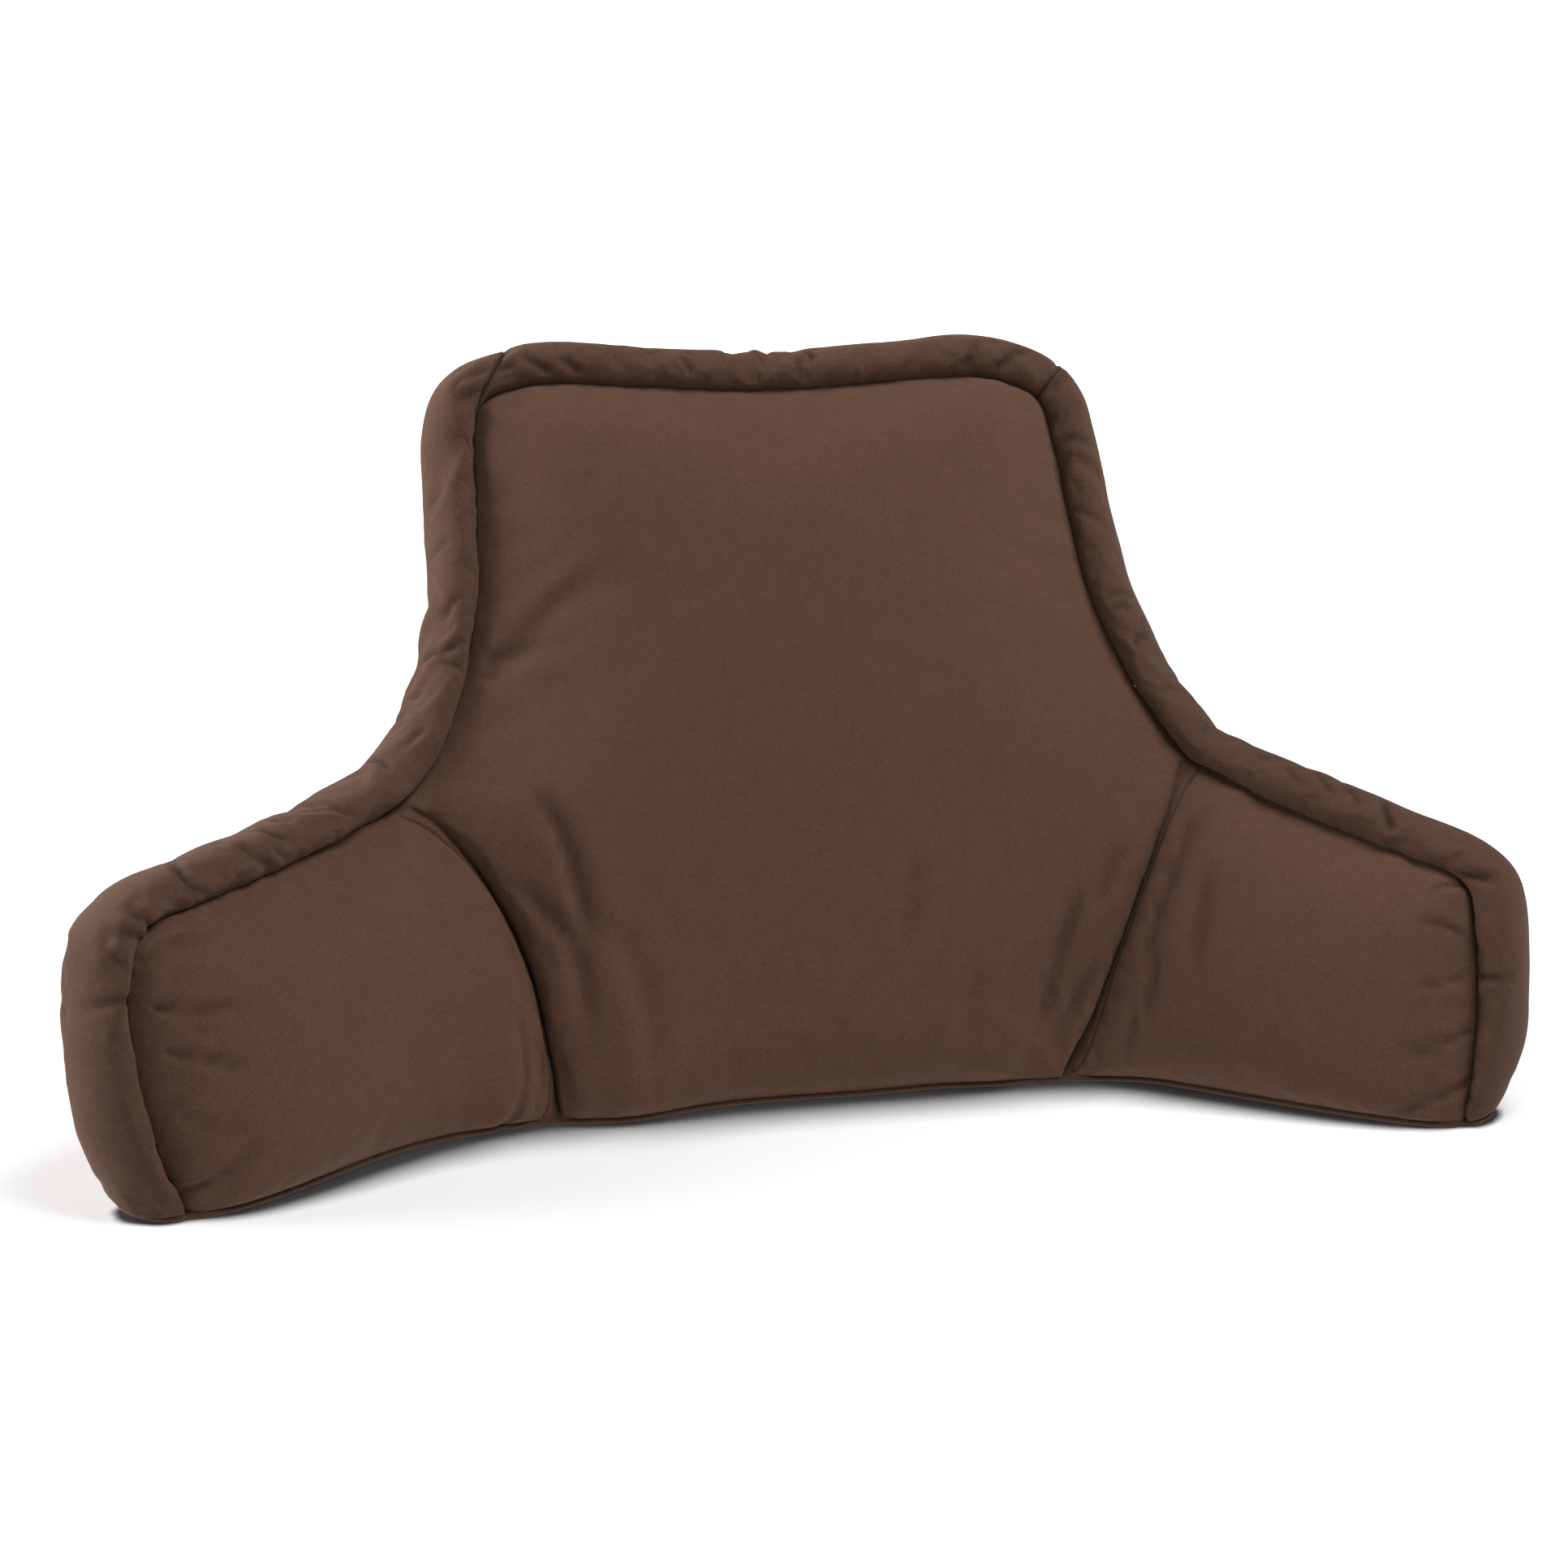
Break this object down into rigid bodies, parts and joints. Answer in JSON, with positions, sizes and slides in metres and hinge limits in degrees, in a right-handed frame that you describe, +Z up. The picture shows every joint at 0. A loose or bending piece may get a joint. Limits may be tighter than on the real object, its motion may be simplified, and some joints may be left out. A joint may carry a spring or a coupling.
{
  "type": "ergonomic bed cushion",
  "caption": "Filled bed cushion with a tall leaning backrest, two low splayed arms and a padded border all round.",
  "frame": {"origin": "middle of the footprint, on the surface that the base panel rests on", "axes": "+Z up, -Y towards the sitter, +X to the right as seen from the front"},
  "size_m": [0.9338, 0.3768, 0.5117],
  "materials": {
    "panel_cloth": "matt brushed cloth, warm brown",
    "border_cloth": "matt brushed cloth, warm brown, puckered along its seams",
    "base_cloth": "matt brushed cloth, darker brown"
  },
  "bodies": {
    "root": {"cushion_body": "panel_cloth", "border_left": "border_cloth", "border_top": "border_cloth", "border_right": "border_cloth", "base_panel": "base_cloth"}
  },
  "joints": []
}
